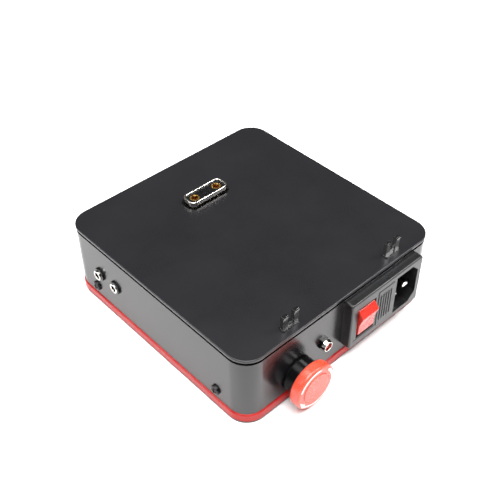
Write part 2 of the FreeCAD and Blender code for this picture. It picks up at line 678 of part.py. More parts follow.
def indicator():
    spot = ("ledX", "ledZ")
    flange = hexRod("LedHex", "y", f"{front} - ledHexReach", front, spot, "ledHex")
    cone = doc.addObject("Part::Cone", "LedCone")
    cone.setExpression("Radius1", link("ledRim"))
    cone.setExpression("Radius2", link("ledBore + 0.35"))
    cone.setExpression("Height", link("ledReach - ledHexReach"))
    place(cone, "ledX", f"{front} - ledHexReach", "ledZ", frontTurn)
    tube = rod("LedTube", "y", front, f"{front} + ledDepth", spot, "ledTube")
    bore = rod("LedBore", "y", f"{front} - ledReach - 1", f"{front} + ledDepth + 1", spot, "ledBore")
    keep(cut("LedBezel", join("LedBezelBlank", flange, cone, tube), bore), "led_bezel")
    body, feature = turned("led_lens", [
        ("0", "-ledDepth + 1"), ("lensRadius", "-ledDepth + 1"), ("lensRadius", "lensReach"),
        ("0", "lensReach")], ("ledX", front, "ledZ"), frontTurn)
    fillet(body, feature, "lensRadius * 0.8", lambda edge: atHeight(edge, value("lensReach")))
    start = f"{front} + wallThick"
    nut = hexRod("LedNutBlank", "y", start, start + " + 2", spot, "ledHex + 0.4")
    nutBore = rod("LedNutBore", "y", start + " - 1", start + " + 3", spot, "ledTube + threadGap")
    keep(cut("LedNut", nut, nutBore), "led_nut")


# Jacks

def jacks():
    nuts = []
    housings = []
    inner = "-caseWidth / 2 + jackDepth"
    for name, jackY, reach in (("rear", "jackRearY", "jackRearReach"), ("front", "jackFrontY", "jackFrontReach")):
        turned(f"jack_bushing_{name}", [
            ("jackBore", "-jackDepth"), ("jackThread", "-jackDepth"), ("jackThread", f"{reach} - 0.3"),
            ("jackThread - 0.3", reach), ("jackBore + 0.3", reach), ("jackBore", f"{reach} - 0.3")],
            ("-caseWidth / 2", jackY, "jackZ"), leftTurn)
        ring = rod("JackRing" + name, "x", "-caseWidth / 2 - jackNutThick", "-caseWidth / 2",
                   (jackY, "jackZ"), "jackNut")
        hole = rod("JackRingBore" + name, "x", "-caseWidth / 2 - jackNutThick - 1", "-caseWidth / 2 + 1",
                   (jackY, "jackZ"), "jackThread + threadGap")
        nuts.append(cut("JackNut" + name, ring, hole))
        shell = box("JackShell" + name, (inner, f"{jackY} - 5.5", "jackZ - 5"),
                    (inner + " + 10", f"{jackY} + 5.5", "jackZ + 5"))
        well = rod("JackWell" + name, "x", inner + " - 1", inner + " + 8.5", (jackY, "jackZ"),
                   "jackBore + 0.3")
        housings.append(cut("JackHousing" + name, shell, well))
    keep(join("JackNuts", *nuts), "jack_nuts")
    keep(join("JackHousings", *housings), "jack_housings")


# Mains inlet

liveX = "(socketCentreX - bladeShift)"
earthX = "(socketCentreX + bladeShift)"
blades = {"live": (liveX, "(inletZ + bladeSpread)"), "neutral": (liveX, "(inletZ - bladeSpread)"),
          "earth": (earthX, "inletZ")}


def around(sketch, centreX, halfX, centreZ, halfZ, radius):
    roundRect(sketch, f"{centreX} - {halfX}", f"{centreX} + {halfX}", f"{centreZ} - {halfZ}",
              f"{centreZ} + {halfZ}", radius)


def inletHousing():
    body = newBody("inlet_housing")
    flange = newSketch(body, "XZ_Plane", "caseDepth / 2")
    around(flange, "inletX", "flangeHalf", "inletZ", "flangeHalfTall", "flangeRound")
    slab = pad(body, flange, "flangeReach")
    face = -value("caseDepth / 2 + flangeReach")
    fillet(body, slab, "flangeEdge", lambda edge: abs(edge.BoundBox.YMax - face) < 0.001)
    inner = newSketch(body, "XZ_Plane", "caseDepth / 2")
    around(inner, "inletX", "innerHalf", "inletZ", "innerHalfTall", "flangeRound")
    pad(body, inner, "innerDepth", flip=True)

    faceReach = "caseDepth / 2 + flangeReach"
    cavity = newSketch(body, "XZ_Plane", faceReach)
    left, right = "socketCentreX - cavityHalf", "socketCentreX + cavityHalf"
    low, high = "inletZ - cavityHalfTall", "inletZ + cavityHalfTall"
    polygon(cavity, [
        (left, low), (f"{right} - cavityChamfer", low), (right, f"{low} + cavityChamfer"),
        (right, f"{high} - cavityChamfer"), (f"{right} - cavityChamfer", high), (left, high)])
    pocket(body, cavity, "flangeReach + cavityDepth")
    aperture = newSketch(body, "XZ_Plane", faceReach)
    around(aperture, "rockerX", "apertureHalf", "inletZ", "apertureHalfTall", "0.6")
    pocket(body, aperture, "flangeReach + apertureDepth")
    recess = newSketch(body, "XZ_Plane", faceReach)
    around(recess, "drawerX", "(panelHalf + slideGap)", "inletZ", "(panelHalfTall + slideGap)", "0.8")
    pocket(body, recess, "flangeReach - panelFloor")
    channel = newSketch(body, "XZ_Plane", faceReach)
    around(channel, "drawerX", "(trayHalf + slideGap)", "inletZ", "(trayHalfTall + slideGap)", "0.4")
    pocket(body, channel, "flangeReach + drawerEnd")
    slits = newSketch(body, "XZ_Plane", "caseDepth / 2")
    for x, z in blades.values():
        polygon(slits, [(f"{x} - bladeWide / 2", f"{z} - bladeThick / 2"),
                        (f"{x} + bladeWide / 2", f"{z} - bladeThick / 2"),
                        (f"{x} + bladeWide / 2", f"{z} + bladeThick / 2"),
                        (f"{x} - bladeWide / 2", f"{z} + bladeThick / 2")])
    for sign in "-+":
        z = f"(inletZ {sign} trayHalfTall * 0.65)"
        polygon(slits, [("drawerX - 1", f"{z} - 1.5"), ("drawerX + 1", f"{z} - 1.5"),
                        ("drawerX + 1", f"{z} + 1.5"), ("drawerX - 1", f"{z} + 1.5")])
    pocket(body, slits, "innerDepth + 1")
    bearing = newSketch(body, "YZ_Plane", "rockerX - apertureHalf - trunnion - slideGap")
    circle(bearing, f"{front} - pivotReach", "inletZ", "pivotRadius + runningGap")
    pocket(body, bearing, "(apertureHalf + trunnion + slideGap) * 2", flip=True)
    groove = newSketch(body, "XZ_Plane", faceReach)
    near, far = "(rockerX - apertureHalf - 2)", "(rockerX + apertureHalf + 1)"
    low, high = "(inletZ - apertureHalfTall - 1.1)", "(inletZ - apertureHalfTall - 0.5)"
    polygon(groove, [(near, low), (far, low), (far, high), (near, high)])
    pocket(body, groove, "0.9")


def inletBlades():
    for name, (x, z) in blades.items():
        reach = "earthReach" if name == "earth" else "bladeReach"
        low = (f"{x} - bladeWide / 2", f"{front} - {reach}", f"{z} - bladeThick / 2")
        high = (f"{x} + bladeWide / 2", f"{front} + bladeDepth", f"{z} + bladeThick / 2")
        blade = box("Blade" + name.capitalize(), low, high)
        tip = doc.addObject("Part::Chamfer", "BladeTip" + name.capitalize())
        tip.Base = blade
        doc.recompute()
        ends = [number for number, edge in enumerate(blade.Shape.Edges, 1)
                if abs(edge.BoundBox.YMax - value(low[1])) < 0.001]
        tip.Edges = [(number, 0.5, 0.5) for number in ends]
        keep(tip, f"inlet_{name}_blade")


def rockerSwitch():
    """Its outline is (back, up) from the pivot; it rests with the upper half pressed out."""
    body = newBody("rocker_switch")
    sketch = newSketch(body, "YZ_Plane")
    crest = "-(flangeReach - pivotReach + 1.9)"
    shoulder = "-(flangeReach - pivotReach - 2)"
    polygon(sketch, [
        (crest, "crestTall"), ("-(flangeReach - pivotReach + 1.1)", "0"), (crest, "-crestTall"),
        (shoulder, "-rockerTall"), ("0.5", "-crestTall"), ("3.5", "-3"), ("3.5", "3"),
        ("0.5", "crestTall"), (shoulder, "rockerTall")])
    wedge = pad(body, sketch, "rockerHalf * 2", middle=True)
    outer = -value("flangeReach - pivotReach")
    fillet(body, wedge, "0.35", lambda edge: edge.BoundBox.YMax < outer and edge.BoundBox.XLength > 1)
    pins = newSketch(body, "YZ_Plane")
    circle(pins, "0", "0", "pivotRadius")
    pad(body, pins, "(apertureHalf + trunnion) * 2", middle=True)
    place(body, "rockerX", f"{front} - pivotReach", "inletZ", Rotation(Vector(1, 0, 0), value("rockerTilt")))


def fuseDrawer():
    body = newBody("fuse_drawer")
    panel = newSketch(body, "XZ_Plane", "caseDepth / 2 + panelFloor + slideGap")
    around(panel, "drawerX", "panelHalf", "inletZ", "panelHalfTall", "0.6")
    feature = pad(body, panel, "panelReach - panelFloor - slideGap")
    face = -value("caseDepth / 2 + panelReach")
    fillet(body, feature, "0.3", lambda edge: abs(edge.BoundBox.YMax - face) < 0.001)
    tray = newSketch(body, "XZ_Plane", "caseDepth / 2 + panelFloor + slideGap")
    around(tray, "drawerX", "trayHalf", "inletZ", "trayHalfTall", "0.3")
    pad(body, tray, "panelFloor + slideGap + trayDepth", flip=True)
    well = newSketch(body, "XZ_Plane", "caseDepth / 2 - trayDepth")
    around(well, "drawerX", "(fuseRadius + 0.1)", "inletZ", "(fuseLong / 2 + 0.1)", "0.2")
    pocket(body, well, "trayDepth - fuseAxisDepth + fuseRadius + 0.1", flip=True)
    ribs = newSketch(body, "XZ_Plane", "caseDepth / 2 + panelReach - 0.2")
    for shift in (-2, -1, 0, 1, 2):
        around(ribs, f"(drawerX + {shift} * ribPitch)", "ribHalf", "inletZ", "ribHalfTall", "0.25")
    pad(body, ribs, "0.55")


def fuse():
    """A glass cartridge standing in the drawer, with its two end caps and the contacts behind it."""
    axis = ("drawerX", f"{front} + fuseAxisDepth")
    low, high = "(inletZ - fuseLong / 2)", "(inletZ + fuseLong / 2)"
    glass = rod("FuseGlass", "z", f"{low} + 0.6", f"{high} - 0.6", axis, "fuseRadius - 0.2")
    hollow = rod("FuseHollow", "z", f"{low} + 0.6", f"{high} - 0.6", axis, "fuseRadius - 0.6")
    keep(cut("FuseTube", glass, hollow), "fuse_tube")
    caps = []
    contacts = []
    for name, sign, start, end in (("Low", "-", low, f"{low} + fuseCapLong"),
                                   ("High", "+", f"{high} - fuseCapLong", high)):
        outer = rod("FuseCap" + name, "z", start, end, axis, "fuseRadius")
        inner = rod("FuseCapBore" + name, "z", f"{low} + 0.6", f"{high} - 0.6", axis, "fuseRadius - 0.15")
        caps.append(cut("FuseCup" + name, outer, inner))
        z = f"(inletZ {sign} trayHalfTall * 0.65)"
        contacts.append(box("FuseContact" + name,
                            ("drawerX - 1", f"{front} + fuseAxisDepth + fuseRadius + slideGap", f"{z} - 1.5"),
                            ("drawerX + 1", f"{front} + innerDepth + 4", f"{z} + 1.5")))
    keep(join("FuseCaps", *caps), "fuse_caps")
    keep(join("FuseContacts", *contacts), "fuse_contacts")


# Electronics

boardTop = "(boardBottom + boardThick)"
boardMounts = [(sign + "mountX", y) for sign in ("-", "") for y in ("mountFront", "mountRear")]


def powerBoard():
    slab = box("BoardSlab", ("-boardHalf", "boardFront", "boardBottom"), ("boardHalf", "boardRear", boardTop))
    sheetSlab = box("SheetSlab", ("-boardHalf", "boardFront", floorTop),
                    ("boardHalf", "boardRear", f"{floorTop} + sheetThick"))
    boardHoles = []
    sheetHoles = []
    pillars = []
    pillarBores = []
    screws = []
    for number, spot in enumerate(boardMounts):
        boardHoles.append(rod(f"BoardHole{number}", "z", "boardBottom - 1", f"{boardTop} + 1", spot,
                              "smallShank + 0.1"))
        sheetHoles.append(rod(f"SheetHole{number}", "z", f"{floorTop} - 1", f"{floorTop} + 1", spot, "3.2"))
        pillars.append(rod(f"Pillar{number}", "z", floorTop, "boardBottom", spot, "3"))
        pillarBores.append(rod(f"PillarBore{number}", "z", f"{floorTop} + 0.5", "boardBottom + 1", spot,
                               "smallShank + threadGap"))
        screws.append(screw(f"BoardScrew{number}", "z", boardTop, -1, spot, "smallShank", "smallHead",
                            "smallHeadThick", "boardThick + 4"))
    keep(cut("PowerBoard", slab, *boardHoles), "power_board")
    keep(cut("InsulationSheet", sheetSlab, *sheetHoles), "insulation_sheet")
    keep(cut("BoardStandoffs", join("Pillars", *pillars), *pillarBores), "board_standoffs")
    keep(join("BoardScrews", *screws), "board_screws")


def transformer():
    block = box("CoreBlock", ("8", "-12", boardTop), ("38", "0", f"{boardTop} + 20"))
    windows = [box(f"CoreWindow{number}", (start, "-13", f"{boardTop} + 3.5"), (end, "1", f"{boardTop} + 16.5"))
               for number, (start, end) in enumerate((("13", "19.5"), ("26.5", "33")))]
    keep(cut("TransformerCore", block, *windows), "transformer_core")
    coil = box("CoilBlock", ("13.2", "-18", f"{boardTop} + 3.7"), ("32.8", "6", f"{boardTop} + 16.3"))
    leg = box("CoilHole", ("19.4", "-12.1", f"{boardTop} + 3"), ("26.6", "0.1", f"{boardTop} + 17"))
    keep(cut("TransformerWinding", coil, leg), "transformer_winding")


def boardParts():
    bulk = rod("BulkCapacitor", "z", boardTop, f"{boardTop} + 21", ("-12", "-12"), "9")
    keep(bulk, "bulk_capacitor")
    choke = doc.addObject("Part::Torus", "FilterChoke")
    choke.Radius1 = 7
    choke.Radius2 = 3.5
    place(choke, "-36", "-12", f"{boardTop} + 3.5")
    keep(choke, "filter_choke")
    sinkBase = box("SinkBase", ("-45", "8", boardTop), ("5", "11", f"{boardTop} + 24"))
    fins = [box(f"SinkFin{number}", (f"-45 + {number} * 6.9", "11", boardTop),
                (f"-45 + {number} * 6.9 + 1.7", "20", f"{boardTop} + 24")) for number in range(8)]
    keep(join("Heatsink", sinkBase, *fins), "heatsink")
    switches = [box(f"Transistor{number}", (x, "3.5", f"{boardTop} + 4"), (x + " + 10", "8", f"{boardTop} + 19"))
                for number, x in enumerate(("-38", "-16"))]
    keep(join("PowerTransistors", *switches), "power_transistors")
    cans = [rod(f"OutputCan{number}", "z", boardTop, f"{boardTop} + 16", (x, "50"), "5")
            for number, x in enumerate(("18", "30", "-18"))]
    keep(join("OutputCapacitors", *cans), "output_capacitors")


def allWires():
    top = value(boardTop)
    start = value(f"{front} + bladeDepth")
    live, neutral, earth = ([value(item) for item in spot] for spot in blades.values())
    wires("mains_wires", [
        [(live[0], start, live[1]), (live[0], -24, live[1]), (live[0], -24, top)],
        [(neutral[0], start, neutral[1]), (neutral[0], -35, neutral[1]), (neutral[0] + 3, -24, neutral[1]),
         (neutral[0] + 3, -24, top)]], 4, 1.0)
    tabTop = value(f"{floorTop} + tabTall")
    wires("earth_wire", [[(earth[0], start, earth[1]), (earth[0], -37, earth[1]), (60.5, -37, earth[1]),
                          (60.5, -47.7, earth[1]), (60.5, -47.7, tabTop)]], 4, 1.0)
    tail = value(f"{dockBottom} - 3")
    dockY = value("dockY")
    socketX = value("socketX")
    wires("output_wires", [[(side * socketX, dockY, tail), (side * socketX, dockY, 20),
                            (side * 12, 44, 20), (side * 12, 44, top)] for side in (-1, 1)], 3, 1.2)
    stopBack = value(f"{front} + barrelDepth + 23")
    ledBack = value(f"{front} + ledDepth - 1")
    jackBack = value("-caseWidth / 2 + jackDepth + 10")
    stopX, stopZ, ledX, ledZ = (value(item) for item in ("stopX", "stopZ", "ledX", "ledZ"))
    routes = [[(ledX + side * 1.2, ledBack, ledZ), (ledX + side * 1.2, -24, ledZ),
               (ledX + side * 1.2, -24, top)] for side in (-1, 1)]
    routes += [[(jackBack, value(y), value("jackZ")), (-46, value(y), value("jackZ")), (-46, value(y), top)]
               for y in ("jackRearY", "jackFrontY")]
    routes += [[(stopX + side * 4, stopBack, stopZ + 4), (stopX + side * 4, -25, stopZ + 4),
                (stopX + side * 4, -25, top)] for side in (-1, 1)]
    wires("signal_wires", routes, 2, 0.6)


for make in (topPlate, wallFrame, redTrimBand, bottomPlate, cornerPosts, baseScrews, sideFastening,
             dockShell, dockInsert, dockSockets, dockContacts, dockFixing):
    make()
batteryHook("left", "hookLeftX")
batteryHook("right", "hookRightX")
for make in (stopCollar, stopLockNut, stopPlunger, stopSpring, stopHead, stopContacts, indicator, jacks,
             inletHousing, inletBlades, rockerSwitch, fuseDrawer, fuse, powerBoard, transformer,
             boardParts, allWires):
    make()
doc.recompute()

# Checks and files

for item in doc.Objects:
    if "Invalid" in item.State or "Error" in item.State:
        raise RuntimeError(f"{item.Label} failed: {item.State}")
for item in parts:
    if item.Shape.isNull() or not item.Shape.isValid():
        raise RuntimeError(f"{item.Label} has no valid shape")

os.makedirs("parts", exist_ok=True)
for item in parts:
    item.Shape.exportStep(f"parts/{item.Label}.step")
    print(f"{item.Label}: {len(item.Shape.Solids)} solids, {item.Shape.Volume:.1f} mm3")
print(len(parts), "sub-parts")
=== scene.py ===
import json
import math

import bmesh
import bpy
import numpy as np
from mathutils import Matrix, Vector


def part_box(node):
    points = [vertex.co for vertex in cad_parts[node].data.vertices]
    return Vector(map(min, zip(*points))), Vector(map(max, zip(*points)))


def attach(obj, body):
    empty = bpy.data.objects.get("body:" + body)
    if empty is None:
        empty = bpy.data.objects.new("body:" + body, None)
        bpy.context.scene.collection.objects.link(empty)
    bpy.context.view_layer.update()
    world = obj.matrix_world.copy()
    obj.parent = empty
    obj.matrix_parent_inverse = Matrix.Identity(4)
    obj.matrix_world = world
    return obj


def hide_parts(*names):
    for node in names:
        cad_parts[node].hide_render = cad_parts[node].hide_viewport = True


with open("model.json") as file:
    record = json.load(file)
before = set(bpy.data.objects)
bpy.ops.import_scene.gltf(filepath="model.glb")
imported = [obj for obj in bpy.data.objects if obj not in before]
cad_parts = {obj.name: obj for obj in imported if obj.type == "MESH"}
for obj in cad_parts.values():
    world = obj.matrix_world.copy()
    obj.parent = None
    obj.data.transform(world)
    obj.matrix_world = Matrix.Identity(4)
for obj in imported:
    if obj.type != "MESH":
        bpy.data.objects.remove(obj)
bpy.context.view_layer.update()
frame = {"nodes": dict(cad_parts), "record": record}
nodes = frame["nodes"]
mm = 0.001
wallLow, wallHigh = (np.array(corner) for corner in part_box("wall_frame"))
print("frame loaded:", len(nodes), "nodes")

bpy.context.scene.view_settings.view_transform = "Standard"

# degrees and millimetres, on a 36 mm sensor
viewpoint = {"azimuth": -42.84, "elevation": 42.354, "roll": -0.287, "distance": 473.6,
             "target": (20.8, 21.75, 0.0), "lens": 58.81, "near": 10}


def makeCamera(setup):
    # stands at a distance from its target along the view direction, its sides turned by the roll
    azimuth, elevation, roll = (math.radians(setup[key]) for key in ("azimuth", "elevation", "roll"))
    back = Vector((math.sin(azimuth) * math.cos(elevation), -math.cos(azimuth) * math.cos(elevation),
                   math.sin(elevation)))
    level = Vector((math.cos(azimuth), math.sin(azimuth), 0))
    upright = back.cross(level)
    right = level * math.cos(roll) + upright * math.sin(roll)
    up = upright * math.cos(roll) - level * math.sin(roll)
    data = bpy.data.cameras.new("camera")
    data.lens = setup["lens"]
    data.clip_start = setup["near"] * mm
    camera = bpy.data.objects.new("camera", data)
    bpy.context.scene.collection.objects.link(camera)
    turn = Matrix((right, up, back)).transposed().to_4x4()
    camera.matrix_world = Matrix.Translation((Vector(setup["target"]) + back * setup["distance"]) * mm) @ turn
    bpy.context.scene.camera = camera


makeCamera(viewpoint)


# finishes

def linear(code):
    # an sRGB hex colour as the linear numbers that shaders take
    share = np.array([int(code[start:start + 2], 16) for start in (1, 3, 5)]) / 255
    return (*np.where(share <= 0.04045, share / 12.92, ((share + 0.055) / 1.055) ** 2.4).tolist(), 1.0)


def addNode(tree, kind, settings, links):
    # settings are the node's own fields or fixed socket values; links bring in (node, output)
    node = tree.nodes.new("ShaderNode" + kind)
    for name, amount in settings.items():
        if isinstance(name, str) and hasattr(node, name):
            setattr(node, name, amount)
        else:
            node.inputs[name].default_value = amount
    for name, (source, output) in links.items():
        tree.links.new(source.outputs[output], node.inputs[name])
    return node


def perMetre(size):
    # the texture scale whose features are about this many millimetres
    return 1 / (size * mm)


grainShare = 0.5  # the grain's part in the mix with the cloud
spread = (0.38, 0.62)  # the stretch of the mix over which tone and gloss change


def finish(name, recipe):
    # a fine pattern gives relief, and a broad cloud mixed with it shifts tone and gloss over the piece
    material = bpy.data.materials.new(name)
    material.use_nodes = True
    tree = material.node_tree
    tree.nodes.clear()
    coords = addNode(tree, "TexCoord", {}, {})
    mapped = addNode(tree, "Mapping", {"Scale": recipe.get("stretch", (1, 1, 1))},
                     {"Vector": (coords, "Object")})
    kind, settings, output = recipe.get("pattern", ("TexNoise", {"Detail": 3.0}, "Fac"))
    grain = addNode(tree, kind, {"Scale": perMetre(recipe["grain"]), **settings},
                    {"Vector": (mapped, "Vector")})
    cloud = addNode(tree, "TexNoise", {"Scale": perMetre(recipe.get("cloud", 25)), "Detail": 4.0,
                                       "Roughness": 0.6}, {"Vector": (coords, "Object")})
    fine = addNode(tree, "Math", {"operation": "MULTIPLY", 1: grainShare}, {0: (grain, output)})
    blend = addNode(tree, "Math", {"operation": "MULTIPLY_ADD", 1: 1 - grainShare},
                    {0: (cloud, "Fac"), 2: (fine, "Value")})
    tone = addNode(tree, "ValToRGB", {}, {"Fac": (blend, "Value")})
    for stop, spot, colour in zip(tone.color_ramp.elements, recipe.get("stops", spread), recipe["colours"]):
        stop.position, stop.color = spot, linear(colour)
    gloss = addNode(tree, "MapRange", {"From Min": spread[0], "From Max": spread[1],
                                       "To Min": recipe["rough"][0], "To Max": recipe["rough"][1]},
                    {"Value": (blend, "Value")})
    bump = addNode(tree, "Bump", {"Strength": 1.0, "Distance": recipe["relief"] * mm},
                   {"Height": (grain, output)})
    shader = addNode(tree, "BsdfPrincipled", recipe.get("sockets", {}), {
        "Base Color": (tone, "Color"), "Roughness": (gloss, "Result"), "Normal": (bump, "Normal")})
    addNode(tree, "OutputMaterial", {}, {"Surface": (shader, "BSDF")})
    return material


# grain, cloud and relief are in millimetres, stretch narrows the grain, and rough is the roughness's range
metal = {"Metallic": 1.0}
waves = {"wave_type": "BANDS", "bands_direction": "Z", "Distortion": 0.6, "Detail": 2.0}
recipes = {
    # satin enamel on aluminium: an even near-black with a very fine grain
    "satin_black_aluminium": {"grain": 0.35, "cloud": 40, "colours": ("#121114", "#161518"),
                              "rough": (0.27, 0.34), "relief": 0.003},
    # sealed black anodising, polished: dark, and it mirrors what stands before it
    "anodised_wall": {"grain": 0.5, "stretch": (0.1, 0.1, 1), "cloud": 30, "colours": ("#100f11", "#151316"),
                      "rough": (0.2, 0.26), "relief": 0.0015},
    # gloss enamel: deep red under a smooth clear coat
    "red_trim": {"grain": 1.5, "cloud": 20, "colours": ("#9c120f", "#a91813"), "rough": (0.14, 0.2),
                 "relief": 0.003, "sockets": {"Specular IOR Level": 0.25}},
    # powder-coated steel: dull black, a coarser grain than the top
    "black_base": {"grain": 0.5, "cloud": 30, "colours": ("#070707", "#0b0b0c"), "rough": (0.45, 0.6),
                   "relief": 0.01},
    # brushed steel: fine lines and a soft grey glint
    "steel": {"grain": 0.3, "stretch": (1, 1, 0.08), "colours": ("#b9b8b6", "#cfcecc"), "rough": (0.25, 0.4),
              "relief": 0.004, "sockets": metal},
    # black-oxide steel: dark, slightly oily screw heads
    "black_screw": {"grain": 0.25, "cloud": 4, "colours": ("#2b292a", "#413f40"), "rough": (0.28, 0.42),
                    "relief": 0.006, "sockets": metal},
    # nickel plate: bright and mirror-like, with slight unevenness
    "nickel": {"grain": 0.8, "cloud": 6, "colours": ("#cfccc6", "#dedbd5"), "rough": (0.08, 0.16),
               "relief": 0.002, "sockets": metal},
    # hard lacquer: black and mirror-like, so its faces are either bright or black
    "hard_lacquer": {"grain": 0.8, "cloud": 6, "colours": ("#060606", "#09090a"), "rough": (0.1, 0.16),
                     "relief": 0.002, "sockets": {"Specular IOR Level": 1.0}},
    # ABS, polished mould: black with sharp highlights
    "black_plastic": {"grain": 0.7, "cloud": 12, "colours": ("#070707", "#0a0a0b"), "rough": (0.1, 0.18),
                      "relief": 0.003},
    # polyamide, spark-eroded mould: charcoal with a fine matt grain
    "inlet_plastic": {"grain": 0.25, "cloud": 15, "colours": ("#131314", "#19191a"), "rough": (0.26, 0.36),
                      "relief": 0.012},
    # gold plate on brass: warm and bright, a little worn
    "gold": {"grain": 0.3, "cloud": 3, "colours": ("#e6b055", "#f6cd80"), "rough": (0.2, 0.32),
             "relief": 0.003, "sockets": metal},
    # polycarbonate, moulded: a bright orange red with soft gloss
    "stop_red": {"grain": 0.6, "cloud": 9, "colours": ("#c6402c", "#d04934"), "rough": (0.2, 0.3),
                 "relief": 0.004, "sockets": {"Subsurface Weight": 0.08, "Subsurface Scale": 0.002}},
    # translucent nylon: a saturated red that lets a little light through
    "rocker_red": {"grain": 0.5, "cloud": 8, "colours": ("#b01e12", "#bb2618"), "rough": (0.24, 0.32),
                   "relief": 0.003, "sockets": {"Specular IOR Level": 0.85, "Subsurface Weight": 0.1,
                                                "Subsurface Scale": 0.002}},
    # clear red acrylic: dark from the side and bright where it catches light
    "lens_red": {"grain": 0.8, "cloud": 3, "colours": ("#c80f12", "#e23130"), "rough": (0.04, 0.1),
                 "relief": 0.002, "sockets": {"Transmission Weight": 0.45, "IOR": 1.49}},
    # neoprene: dead matt black
    "rubber": {"grain": 0.4, "cloud": 6, "colours": ("#0a0a0a", "#111111"), "rough": (0.7, 0.85),
               "relief": 0.02},
    # glass-filled epoxy board: green lacquer over copper tracks
    "circuit_board": {"grain": 4, "pattern": ("TexBrick", {"Mortar Size": 0.06, "Brick Width": 1.7}, "Fac"),
                      "colours": ("#0b5a32", "#2c8a52"), "stops": (0.3, 0.7), "rough": (0.25, 0.4),
                      "relief": 0.03},
    # soda glass tube: clear, with faint streaks
    "fuse_glass": {"grain": 1.5, "cloud": 5, "colours": ("#e4ecec", "#f4f8f8"), "rough": (0.03, 0.08),
                   "relief": 0.002, "sockets": {"Transmission Weight": 0.9, "IOR": 1.5}},
    # fish paper: pale fibre board
    "insulation": {"grain": 0.6, "stretch": (1, 0.2, 1), "colours": ("#c9bf9c", "#ddd5b8"),
                   "rough": (0.7, 0.85), "relief": 0.03},
    # sintered ferrite: dark grey stone-like grain
    "ferrite": {"grain": 0.4, "pattern": ("TexVoronoi", {}, "Distance"), "colours": ("#2a2a2b", "#3d3d3e"),
                "rough": (0.6, 0.8), "relief": 0.05},
    # polyester tape: yellow turns with a slight edge at each
    "winding_tape": {"grain": 9, "pattern": ("TexWave", waves, "Fac"), "colours": ("#c9a11c", "#e0bb35"),
                     "rough": (0.3, 0.45), "relief": 0.06},
    # heat-shrink PVC: navy sleeve with a soft sheen
    "capacitor_sleeve": {"grain": 0.8, "cloud": 8, "colours": ("#101836", "#18224a"), "rough": (0.25, 0.35),
                         "relief": 0.008},
    # extruded aluminium: pale grey with lines along the extrusion
    "heatsink_aluminium": {"grain": 0.3, "stretch": (1, 0.05, 1), "colours": ("#a8a8aa", "#bcbcbe"),
                           "rough": (0.3, 0.45), "relief": 0.01, "sockets": metal},
    # PVC insulation: soft plastic with a light sheen
    "wire_black": {"grain": 0.6, "cloud": 10, "colours": ("#101010", "#191919"), "rough": (0.35, 0.5),
                   "relief": 0.01},
    "wire_green": {"grain": 0.6, "cloud": 10, "colours": ("#1f6a24", "#6aa021"), "rough": (0.35, 0.5),
                   "relief": 0.01},
    "wire_red": {"grain": 0.6, "cloud": 10, "colours": ("#a3100c", "#bd1c15"), "rough": (0.35, 0.5),
                 "relief": 0.01},
    # pad-printed ink: flat white with slightly uneven cover
    "white_ink": {"grain": 0.3, "cloud": 5, "colours": ("#f3e9e6", "#fff8f5"), "rough": (0.45, 0.6),
                  "relief": 0.004},
    # seamless paper: an even white sweep
    "paper": {"grain": 2, "cloud": 300, "colours": ("#f4f4f4", "#f8f8f8"), "rough": (0.8, 0.9),
              "relief": 0.01},
}
finishes = {name: finish(name, recipe) for name, recipe in recipes.items()}
for part in frame["record"]["subparts"]:
    skin = nodes[part["node"]].data.materials
    skin.clear()
    skin.append(finishes[part["material_slot"]])
print("finishes made:", len(finishes))


# making pieces: points nearer than meet or weld are one, in metres; flat and sharp are in degrees
meshing = {"meet": 2e-7, "weld": 1e-6, "flat": 0.3, "sharp": 36}


def addPiece(name, mesh, slot, body, stands=(), finishName=None, angle=38):
    # faces outward, soft within the angle, riding on its body
    form = bmesh.new()
    form.from_mesh(mesh)
    bmesh.ops.remove_doubles(form, verts=form.verts, dist=meshing["meet"])
    bmesh.ops.recalc_face_normals(form, faces=form.faces)
    form.to_mesh(mesh)
    form.free()
    mesh.shade_smooth()
    mesh.set_sharp_from_angle(angle=math.radians(angle))
    piece = bpy.data.objects.new(name, mesh)
    bpy.context.scene.collection.objects.link(piece)
    mesh.materials.clear()
    mesh.materials.append(finishes[finishName or slot])
    even = piece.modifiers.new("evenNormals", "WEIGHTED_NORMAL")
    even.keep_sharp = True
    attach(piece, body)
    if stands:
        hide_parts(*stands)
    return piece


def gridMesh(name, points, wrapRows=True):
    # a quad joins each point of the grid to the next in both directions, and the last column to the first;
    # poles are points that meet
    rows, columns = points.shape[:2]
    index = np.arange(rows * columns).reshape(rows, columns)
    if wrapRows:
        index = np.vstack([index, index[:1]])
    index = np.hstack([index, index[:, :1]])
    quads = np.stack([index[:-1, :-1], index[:-1, 1:], index[1:, 1:], index[1:, :-1]], -1).reshape(-1, 4)
    mesh = bpy.data.meshes.new(name)
    mesh.from_pydata(points.reshape(-1, 3).tolist(), [], quads.tolist())
    return mesh


def joined(name, meshes):
    # several grids as one mesh
    form = bmesh.new()
    for mesh in meshes:
        form.from_mesh(mesh)
    whole = bpy.data.meshes.new(name)
    form.to_mesh(whole)
    form.free()
    return whole


def softened(corners, cuts, steps=6):
    # each corner of a closed outline gives way to a parabola that starts and ends its cut away from it
    corners = np.array(corners, float)
    cuts = np.broadcast_to(np.array(cuts, float), len(corners))[:, None]
    before, after = np.roll(corners, 1, 0) - corners, np.roll(corners, -1, 0) - corners
    start = corners + before / np.linalg.norm(before, axis=1)[:, None] * cuts
    end = corners + after / np.linalg.norm(after, axis=1)[:, None] * cuts
    along = np.linspace(0, 1, steps)[None, :, None]
    curve = ((1 - along) ** 2 * start[:, None] + 2 * along * (1 - along) * corners[:, None]
             + along ** 2 * end[:, None])
    return curve.reshape(-1, 2)


